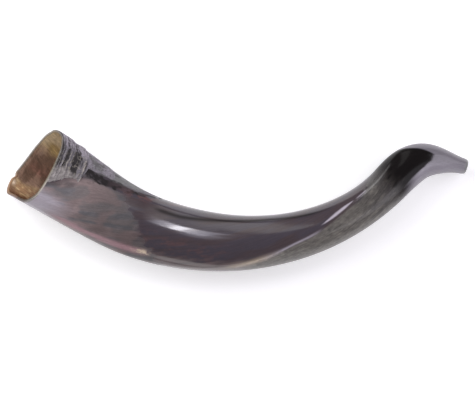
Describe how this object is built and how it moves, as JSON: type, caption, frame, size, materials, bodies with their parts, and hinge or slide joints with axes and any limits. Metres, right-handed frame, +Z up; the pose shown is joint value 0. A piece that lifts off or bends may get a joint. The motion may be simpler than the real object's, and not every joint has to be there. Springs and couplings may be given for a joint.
{
  "type": "shofar",
  "caption": "Curved ram's horn trumpet: polished dark body, raw ridged skin by a wide slanted bell, amber hollow and a drilled blowing end cut into the tip.",
  "frame": {"origin": "under the middle of the bounding box, on the table plane the horn lies on", "axes": "+X runs along the horn toward the blowing end, +Y is the side both ends curve toward, +Z is up from the table with the horn lying on its side"},
  "size_m": [0.3811, 0.117, 0.043],
  "materials": {
    "tip_horn": "polished near-black horn",
    "polished_horn": "polished dark brown horn",
    "mottled_horn": "polished horn mottled with reddish brown",
    "bell_horn": "satin grey translucent horn with fine streaks",
    "amber_lining": "satin amber horn",
    "raw_skin": "rough natural horn skin with dark ridges"
  },
  "bodies": {
    "root": {"mouthpiece_tip_cone": "tip_horn", "growth_cone_2": "polished_horn", "growth_cone_3": "polished_horn", "growth_cone_4": "mottled_horn", "growth_cone_5": "bell_horn", "bell_growth_cone": "bell_horn", "inner_lining": "amber_lining", "raw_skin_ridge_1": "raw_skin", "raw_skin_ridge_2": "raw_skin", "raw_skin_ridge_3": "raw_skin", "raw_skin_ridge_4": "raw_skin", "raw_skin_ridge_5": "raw_skin", "raw_skin_tail": "raw_skin"}
  },
  "joints": []
}
